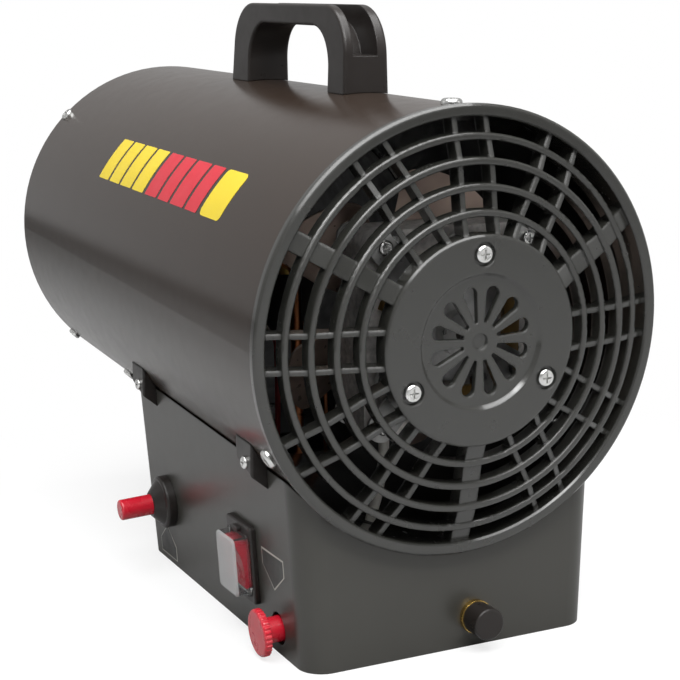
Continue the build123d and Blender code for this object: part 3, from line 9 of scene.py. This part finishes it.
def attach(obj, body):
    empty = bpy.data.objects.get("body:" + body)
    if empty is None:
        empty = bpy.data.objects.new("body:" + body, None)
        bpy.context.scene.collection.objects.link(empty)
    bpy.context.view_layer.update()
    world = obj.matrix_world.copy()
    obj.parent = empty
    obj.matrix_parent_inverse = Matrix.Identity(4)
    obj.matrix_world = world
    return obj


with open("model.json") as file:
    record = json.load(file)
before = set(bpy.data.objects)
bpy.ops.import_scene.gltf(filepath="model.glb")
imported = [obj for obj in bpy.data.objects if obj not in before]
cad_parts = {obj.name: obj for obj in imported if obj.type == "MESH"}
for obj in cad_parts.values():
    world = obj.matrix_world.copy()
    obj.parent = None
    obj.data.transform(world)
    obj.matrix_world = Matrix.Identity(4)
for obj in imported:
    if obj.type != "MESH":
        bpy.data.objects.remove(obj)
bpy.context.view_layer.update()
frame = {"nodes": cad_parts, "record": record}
nodes = frame["nodes"]
scene = bpy.context.scene
scene.view_settings.view_transform = "Standard"

# ---------------------------------------------------------------- sizes shared with the CAD part, in metres

MM = 0.001
barrel_tilt = radians(3.19)
casing_radius = 98.3 * MM
rim_centre = Vector((0, 120.1, 147.3)) * MM
half_width = 72.9 * MM     # of the base, at the floor
side_lean = radians(3.1)
panel_outward = Vector((cos(side_lean), 0, -sin(side_lean)))
panel_up = Vector((sin(side_lean), 0, cos(side_lean)))
outlet_way = Vector((0, -cos(barrel_tilt), sin(barrel_tilt)))
barrel_up = Vector((0, sin(barrel_tilt), cos(barrel_tilt)))

# ---------------------------------------------------------------- camera, as in the photograph

camera_place = Vector((0.32441, 0.67914, 0.26087))
camera_right = Vector((-0.9030, 0.4292, -0.0183)).normalized()
camera_up = Vector((-0.0912, -0.1500, 0.9845)).normalized()
photo_width = 680
focal_pixels = 1508.8
nearest_seen = 0.01

camera_data = bpy.data.cameras.new("camera")
camera_data.lens = camera_data.sensor_width * focal_pixels / photo_width
camera_data.clip_start = nearest_seen
camera = bpy.data.objects.new("camera", camera_data)
scene.collection.objects.link(camera)
camera_back = camera_right.cross(camera_up).normalized()
camera_up = camera_back.cross(camera_right)
turn = Matrix((camera_right, camera_up, camera_back)).transposed()
camera.matrix_world = Matrix.Translation(camera_place) @ turn.to_4x4()
scene.camera = camera

# ---------------------------------------------------------------- lamps

lamp_target = Vector((0, -0.07, 0.15))
softboxes = (  # name, place, width, height, watts
    ("top_softbox", (0.1, 0.3, 1.3), 1.5, 1.5, 42),
    ("strip_softbox", (0.2, 1.0, 1.15), 1.0, 0.22, 7),
    ("left_softbox", (1.5, -0.9, 0.75), 0.8, 1.0, 1),
    ("camera_softbox", (0.3, 1.7, 1.0), 0.7, 0.5, 4),
    ("right_softbox", (-1.3, 1.1, 0.6), 0.8, 1.2, 2),
)
for name, place, width, height, watts in softboxes:
    light = bpy.data.lights.new(name, "AREA")
    light.shape = "RECTANGLE"
    light.size = width
    light.size_y = height
    light.energy = watts
    box = bpy.data.objects.new(name, light)
    box.location = place
    box.rotation_euler = (lamp_target - Vector(place)).to_track_quat("-Z", "Y").to_euler()
    scene.collection.objects.link(box)

# ---------------------------------------------------------------- node helpers


def feed(tree, value, socket):
    """Sets a socket to a plain value, or links it to another node's output."""
    if isinstance(value, bpy.types.NodeSocket):
        tree.links.new(value, socket)
    else:
        socket.default_value = value


def maths(tree, operation, first, second):
    node = tree.nodes.new("ShaderNodeMath")
    node.operation = operation
    feed(tree, first, node.inputs[0])
    feed(tree, second, node.inputs[1])
    return node.outputs["Value"]


def vector_maths(tree, operation, output, first, second=None):
    node = tree.nodes.new("ShaderNodeVectorMath")
    node.operation = operation
    feed(tree, first, node.inputs[0])
    if second is not None:
        feed(tree, second, node.inputs[1])
    return node.outputs[output]


def map_range(tree, value, from_low, from_high, to_low, to_high, kind="LINEAR"):
    node = tree.nodes.new("ShaderNodeMapRange")
    node.interpolation_type = kind
    node.inputs["From Min"].default_value = from_low
    node.inputs["From Max"].default_value = from_high
    node.inputs["To Min"].default_value = to_low
    node.inputs["To Max"].default_value = to_high
    tree.links.new(value, node.inputs["Value"])
    return node.outputs["Result"]


def mixed_colour(tree, factor, first, second):
    node = tree.nodes.new("ShaderNodeMix")
    node.data_type = "RGBA"
    feed(tree, first, node.inputs["A"])
    feed(tree, second, node.inputs["B"])
    tree.links.new(factor, node.inputs["Factor"])
    return node.outputs["Result"]


def grey(level):
    return (level, level, level, 1)


def seen_directly(tree, off_gloss):
    """1 for rays from the camera and through glass, off_gloss for rays off gloss, 0 for the rest."""
    path = tree.nodes.new("ShaderNodeLightPath")
    share = maths(tree, "MULTIPLY", path.outputs["Is Glossy Ray"], off_gloss)
    for ray in ("Is Camera Ray", "Is Transmission Ray"):
        share = maths(tree, "MAXIMUM", share, path.outputs[ray])
    return share


# ---------------------------------------------------------------- room and backdrop

room_level = 0.16
backdrop_off_gloss = 0.4

world = bpy.data.worlds.new("studio")
scene.world = world
world.use_nodes = True
tree = world.node_tree
tree.nodes.clear()
world_out = tree.nodes.new("ShaderNodeOutputWorld")
mix = tree.nodes.new("ShaderNodeMixShader")
room = tree.nodes.new("ShaderNodeBackground")
room.inputs["Color"].default_value = grey(room_level)
backdrop = tree.nodes.new("ShaderNodeBackground")
backdrop.inputs["Color"].default_value = grey(1)
tree.links.new(seen_directly(tree, backdrop_off_gloss), mix.inputs["Fac"])
tree.links.new(room.outputs[0], mix.inputs[1])
tree.links.new(backdrop.outputs[0], mix.inputs[2])
tree.links.new(mix.outputs[0], world_out.inputs["Surface"])

# ---------------------------------------------------------------- floor

floor_reach = 4.0
fade_start = 0.12          # distances from the middle, over which the floor turns to plain white
fade_end = 0.42
glow_share = 0.75          # of the backdrop's white in the floor beside the object
paper_level = 0.9
paper_dimmed = 0.35        # for the light that the floor throws up at the object
floor_off_gloss = 0.15


def make_floor():
    mesh = bpy.data.meshes.new("floor")
    corners = [(-floor_reach, -floor_reach, 0), (floor_reach, -floor_reach, 0),
               (floor_reach, floor_reach, 0), (-floor_reach, floor_reach, 0)]
    mesh.from_pydata(corners, [], [(0, 1, 2, 3)])
    floor = bpy.data.objects.new("floor", mesh)
    scene.collection.objects.link(floor)
    material = bpy.data.materials.new("floor")
    material.use_nodes = True
    tree = material.node_tree
    tree.nodes.clear()
    out = tree.nodes.new("ShaderNodeOutputMaterial")
    mix = tree.nodes.new("ShaderNodeMixShader")
    paper = tree.nodes.new("ShaderNodeBsdfDiffuse")
    glow = tree.nodes.new("ShaderNodeEmission")
    glow.inputs["Color"].default_value = grey(1)
    path = tree.nodes.new("ShaderNodeLightPath")
    place = tree.nodes.new("ShaderNodeTexCoord").outputs["Object"]
    distance = vector_maths(tree, "LENGTH", "Value", place)
    fade = map_range(tree, distance, fade_start, fade_end, glow_share, 1.0, "SMOOTHSTEP")
    share = maths(tree, "MULTIPLY", path.outputs["Is Camera Ray"], fade)
    colour = mixed_colour(tree, seen_directly(tree, floor_off_gloss), grey(paper_dimmed),
                          grey(paper_level))
    tree.links.new(colour, paper.inputs["Color"])
    tree.links.new(share, mix.inputs["Fac"])
    tree.links.new(paper.outputs[0], mix.inputs[1])
    tree.links.new(glow.outputs[0], mix.inputs[2])
    tree.links.new(mix.outputs[0], out.inputs["Surface"])
    mesh.materials.append(material)


make_floor()

# ---------------------------------------------------------------- materials

noise_low = 0.3            # most of the noise lies between these two
noise_high = 0.7
coat_roughness = 0.1
painted_shade_share = 0.12        # share of its colour that a surface keeps inside the barrel: painted shade, where little light reaches
milky_clearness = 0.5      # transmission of the clear plastic where it is milky
milky_blend = 0.1 * MM


def tone(red, green, blue):
    """A colour written as on screen, 0 to 255, in the renderer's own scale."""
    def linear(value):
        value = value / 255
        return value / 12.92 if value < 0.04045 else ((value + 0.055) / 1.055) ** 2.4
    return (linear(red), linear(green), linear(blue), 1)


def shade(colour, factor):
    return tuple(min(1, channel * factor) for channel in colour[:3]) + (1,)


def noise(tree, coordinates, size, detail=3.0, stretch=None):
    """Noise whose grains are about size metres across."""
    texture = tree.nodes.new("ShaderNodeTexNoise")
    texture.inputs["Scale"].default_value = 1 / size
    texture.inputs["Detail"].default_value = detail
    if stretch:
        mapping = tree.nodes.new("ShaderNodeMapping")
        mapping.inputs["Scale"].default_value = stretch
        tree.links.new(coordinates, mapping.inputs["Vector"])
        coordinates = mapping.outputs["Vector"]
    tree.links.new(coordinates, texture.inputs["Vector"])
    return texture.outputs["Fac"]


def past_radius(tree, coordinates, radius):
    """1 outside the radius about the barrel's axis and 0 within it."""
    away = vector_maths(tree, "SUBTRACT", "Vector", coordinates, rim_centre)
    across = vector_maths(tree, "CROSS_PRODUCT", "Vector", away, outlet_way)
    distance = vector_maths(tree, "LENGTH", "Value", across)
    return maths(tree, "GREATER_THAN", distance, radius)


def surface(name, colour, roughness, metallic=0.0, specular=0.5, coat=0.0, mottle=0.06,
            mottle_size=0.03, rough_spread=0.06, rough_size=0.008, grain_size=0.0006,
            grain_depth=0.00002, stretch=None, edge=0.0, transmission=0.0, painted_shade_radius=None,
            milky_past=None, ior=1.5):
    """Shader with a mottled colour, uneven gloss, a fine surface grain and rounded edges.
    The painted shade radius is about the barrel's axis; within it the colour is nearly black, as painted
    shade for the unlit inside of the casing.
    milky_past is a height off the control panel, past which a clear material turns milky."""
    material = bpy.data.materials.new(name)
    material.use_nodes = True
    tree = material.node_tree
    shader = tree.nodes["Principled BSDF"]
    shader.inputs["Metallic"].default_value = metallic
    shader.inputs["Specular IOR Level"].default_value = specular
    shader.inputs["IOR"].default_value = ior
    shader.inputs["Coat Weight"].default_value = coat
    shader.inputs["Coat Roughness"].default_value = coat_roughness
    shader.inputs["Transmission Weight"].default_value = transmission
    coordinates = tree.nodes.new("ShaderNodeTexCoord").outputs["Object"]

    blotches = map_range(tree, noise(tree, coordinates, mottle_size), noise_low, noise_high, 0, 1)
    mottled = mixed_colour(tree, blotches, shade(colour, 1 - mottle), shade(colour, 1 + mottle))
    # painted shade: nearly black within the casing, whose inside gets little light
    if painted_shade_radius:
        mottled = mixed_colour(tree, past_radius(tree, coordinates, painted_shade_radius),
                               shade(colour, painted_shade_share), mottled)
    tree.links.new(mottled, shader.inputs["Base Color"])

    if milky_past:
        height = vector_maths(tree, "DOT_PRODUCT", "Value", coordinates, panel_outward)
        turns_milky = half_width * cos(side_lean) + milky_past
        clear = map_range(tree, height, turns_milky - milky_blend, turns_milky + milky_blend,
                          transmission, milky_clearness)
        tree.links.new(clear, shader.inputs["Transmission Weight"])

    gloss = map_range(tree, noise(tree, coordinates, rough_size, 4.0, stretch), noise_low,
                      noise_high, roughness - rough_spread, roughness + rough_spread)
    tree.links.new(gloss, shader.inputs["Roughness"])

    bump = tree.nodes.new("ShaderNodeBump")
    bump.inputs["Strength"].default_value = 1.0
    bump.inputs["Distance"].default_value = grain_depth
    tree.links.new(noise(tree, coordinates, grain_size, 2.0, stretch), bump.inputs["Height"])
    if edge:
        bevel = tree.nodes.new("ShaderNodeBevel")
        bevel.inputs["Radius"].default_value = edge
        tree.links.new(bevel.outputs["Normal"], bump.inputs["Normal"])
    tree.links.new(bump.outputs["Normal"], shader.inputs["Normal"])
    return material


slot_finishes = {
    # barrel_paint is nearly black within the casing as painted shade
    "barrel_paint": surface("barrel_paint", tone(42, 33, 27), 0.23, mottle=0.03, rough_spread=0.02,
                            grain_size=0.0012, grain_depth=0.000004, edge=0.0004,
                            painted_shade_radius=casing_radius - 0.4 * MM),
    "base_paint": surface("base_paint", tone(55, 54, 50), 0.32, mottle=0.03, rough_spread=0.01,
                          grain_size=0.0012, grain_depth=0.000001, edge=0.0006),
    "grille_plastic": surface("grille_plastic", tone(39, 39, 36), 0.25, coat=0.6, mottle=0.04,
                              rough_spread=0.03, grain_depth=0.000006, edge=0.002),
    "black_plastic": surface("black_plastic", tone(32, 28, 26), 0.32, specular=0.35, mottle=0.05,
                             rough_spread=0.05, grain_size=0.0005, grain_depth=0.000015,
                             edge=0.0009),
    "red_plastic": surface("red_plastic", tone(196, 22, 43), 0.28, coat=0.3, mottle=0.05,
                           grain_size=0.0008, grain_depth=0.00001, edge=0.0004),
    "clear_plastic": surface("clear_plastic", tone(206, 206, 206), 0.12, mottle=0.01,
                             rough_spread=0.04, grain_size=0.0016, grain_depth=0.00007,
                             stretch=(1, 1, 0.06), transmission=0.97, milky_past=9.0 * MM,
                             ior=1.12),
    "screw_zinc": surface("screw_zinc", tone(214, 214, 212), 0.22, metallic=1.0, mottle=0.08,
                          mottle_size=0.004, grain_size=0.0005, grain_depth=0.00001, edge=0.0003),
    "galvanised": surface("galvanised", tone(176, 176, 174), 0.34, metallic=0.7, mottle=0.2,
                          mottle_size=0.006, rough_spread=0.12, edge=0.0003),
    "burner_steel": surface("burner_steel", tone(38, 34, 31), 0.5, metallic=0.8, mottle=0.2,
                            mottle_size=0.02, rough_spread=0.1, stretch=(8, 1, 8)),
    "stator_steel": surface("stator_steel", tone(214, 210, 206), 0.42, metallic=0.4, mottle=0.25,
                            mottle_size=0.003, grain_size=0.0005, grain_depth=0.0001,
                            stretch=(0.05, 1, 0.05)),
    "fan_metal": surface("fan_metal", tone(176, 156, 144), 0.34, metallic=0.7, mottle=0.2,
                         mottle_size=0.02, rough_spread=0.1),
    "brass": surface("brass", tone(205, 170, 95), 0.28, metallic=1.0, mottle=0.08, edge=0.0003),
    "copper": surface("copper", tone(190, 120, 80), 0.32, metallic=1.0, mottle=0.15),
    "coil_tape": surface("coil_tape", tone(150, 118, 62), 0.4, mottle=0.2, mottle_size=0.006,
                         grain_size=0.003, grain_depth=0.0002, stretch=(1, 6, 1)),
    "ceramic": surface("ceramic", tone(222, 216, 204), 0.35, mottle=0.04),
    "lead_red": surface("lead_red", tone(150, 32, 28), 0.5),
    "lead_white": surface("lead_white", tone(205, 202, 194), 0.5, mottle=0.05),
    "rubber_black": surface("rubber_black", tone(30, 30, 30), 0.6, mottle=0.08, edge=0.0004),
}
node_finishes = {  # nodes that differ from the rest of their slot
    # combustion tube: heat-darkened steel, made near black as painted shade for its unlit inside
    "combustion_tube": surface("dark_steel_and_painted_shade", tone(17, 16, 15), 0.65, specular=0.15, mottle=0.2,
                               rough_spread=0.1, edge=0.0003),
    # valve body: dull brass, darkened as painted shade so that the panel hole around its stem looks black
    "valve_body": surface("dull_brass_and_painted_shade", tone(46, 38, 26), 0.5, metallic=0.6, mottle=0.15),
    "rocker": surface("rocker_red", tone(236, 44, 70), 0.3, coat=0.3, mottle=0.04, edge=0.0004),
}
for entry in frame["record"]["subparts"]:
    finish = node_finishes.get(entry["node"], slot_finishes[entry["material_slot"]])
    for slot in nodes[entry["node"]].material_slots:
        slot.material = finish

# ---------------------------------------------------------------- thin printed shapes

film_thickness = 0.12 * MM
print_cell = 3 * MM        # the largest facet of a print that follows a round surface
corner_steps = 5


def bar_outline(left, right, height, slant):
    """Slanted bar as four corners, going round."""
    lean = slant * height
    return [(left, 0), (right, 0), (right + lean, height), (left + lean, height)]


def rounded(outline, radius):
    """The outline with its corners rounded."""
    points = []
    count = len(outline)
    for k in range(count):
        corner = Vector(outline[k])
        back = (Vector(outline[k - 1]) - corner).normalized()
        ahead = (Vector(outline[(k + 1) % count]) - corner).normalized()
        half = back.angle(ahead) / 2
        inward = (back + ahead).normalized()
        centre = corner + inward * (radius / sin(half))
        start = corner + back * (radius / (sin(half) / cos(half))) - centre
        sweep = pi - 2 * half
        side = 1 if ahead.x * back.y - ahead.y * back.x > 0 else -1
        for step in range(corner_steps + 1):
            angle = side * sweep * step / corner_steps
            points.append(centre + Vector((start.x * cos(angle) - start.y * sin(angle),
                                           start.x * sin(angle) + start.y * cos(angle))))
    return points


def printed(name, outline, place, material, thickness=film_thickness):
    """Thin shape laid on a surface of the frame; place turns (x, y, height) into a point."""
    flat = bmesh.new()
    flat.faces.new([flat.verts.new((x, y, 0)) for x, y in outline])
    xs = [x for x, y in outline]
    ys = [y for x, y in outline]
    for low, high, normal in ((min(xs), max(xs), (1, 0, 0)), (min(ys), max(ys), (0, 1, 0))):
        for k in range(1, int((high - low) / print_cell) + 1):
            cut = Vector(normal) * (low + k * print_cell)
            geometry = flat.verts[:] + flat.edges[:] + flat.faces[:]
            bmesh.ops.bisect_plane(flat, geom=geometry, plane_co=cut, plane_no=normal)
    raised = bmesh.ops.extrude_face_region(flat, geom=flat.faces[:])["geom"]
    for vertex in [item for item in raised if isinstance(item, bmesh.types.BMVert)]:
        vertex.co.z = thickness
    for vertex in flat.verts:
        vertex.co = place(vertex.co.x, vertex.co.y, vertex.co.z)
    bmesh.ops.recalc_face_normals(flat, faces=flat.faces[:])
    mesh = bpy.data.meshes.new(name)
    flat.to_mesh(mesh)
    flat.free()
    mesh.materials.append(material)
    piece = bpy.data.objects.new(name, mesh)
    scene.collection.objects.link(piece)
    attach(piece, "frame")


print_yellow = surface("print_yellow", tone(208, 184, 36), 0.35, mottle=0.03, grain_size=0.0009,
                       grain_depth=0.00001)
print_red = surface("print_red", tone(184, 34, 48), 0.35, mottle=0.03, grain_size=0.0009,
                    grain_depth=0.00001)
print_dark = surface("print_dark", tone(40, 40, 38), 0.4, mottle=0.03)
print_pale = surface("print_pale", tone(178, 176, 168), 0.4, mottle=0.04)

# a band of plain slanted bars and a plain badge on the barrel
band_start = 254 * MM      # from the grille's rim to the band's far end
band_low = casing_radius * radians(27.5)
band_height = 25 * MM
bar_slant = 0.16
bar_gap = 3 * MM
group_gap = 1 * MM         # more than between bars, before each new colour
bar_corner = 0.8 * MM
yellow_widths = (16 * MM, 16 * MM, 17 * MM, 17 * MM)
red_widths = (17 * MM, 15 * MM, 18 * MM, 15 * MM)
badge_end = 26 * MM        # past the last bar's gap
badge_corner = 3 * MM


def on_casing(x, y, height):
    """x runs along the barrel toward the grille, y round it, from the band's lower far corner."""
    angle = (band_low + y) / casing_radius
    outward = Vector((cos(angle), 0, 0)) + barrel_up * sin(angle)
    return rim_centre + outlet_way * (band_start - x) + outward * (casing_radius + height)


def bars(prefix, start, widths, material):
    """Row of bars; gives the place where the next bar would start."""
    left = start
    for k, width in enumerate(widths):
        outline = rounded(bar_outline(left, left + width, band_height, bar_slant), bar_corner)
        printed(f"{prefix}_{k}", outline, on_casing, material)
        left += width + bar_gap
    return left


after_yellow = bars("yellow_bar", 0, yellow_widths, print_yellow)
after_red = bars("red_bar", after_yellow + group_gap, red_widths, print_red)
badge = bar_outline(after_red + group_gap, after_red + badge_end, band_height, bar_slant)
printed("yellow_badge", rounded(badge, badge_corner), on_casing, print_yellow)

# two bare five-sided films on the control side
film_half_width = 12.5 * MM
film_shoulder = 8.0 * MM
film_height = 17.5 * MM
film_border = 0.7 * MM
tip_inset = 1.3            # times the border, so that it is as wide along the slanted sides
panel_films = (  # name, middle along the base, flat edge's height, and which way the point looks
    ("near_film", 75.0 * MM, 48.0 * MM, -1),
    ("far_film", -76.5 * MM, 3.0 * MM, 1),
)


def on_side(x, y, height):
    """x is toward the grille and y up the leaning panel, on the control side."""
    return Vector((half_width, x, 0)) + panel_up * y + panel_outward * height


def film_outline(centre, flat_edge, way, inset):
    """Five corners, going round: a flat edge, two short sides and a point."""
    half = film_half_width - inset
    base = flat_edge + way * inset
    shoulder = flat_edge + way * film_shoulder
    tip = flat_edge + way * (film_height - tip_inset * inset)
    corners = [(centre - half, base), (centre + half, base), (centre + half, shoulder),
               (centre, tip), (centre - half, shoulder)]
    return corners if way > 0 else corners[::-1]


for name, centre, flat_edge, way in panel_films:
    printed(f"{name}_border", film_outline(centre, flat_edge, way, 0), on_side, print_pale)
    printed(name, film_outline(centre, flat_edge, way, film_border), on_side, print_dark,
            thickness=1.5 * film_thickness)
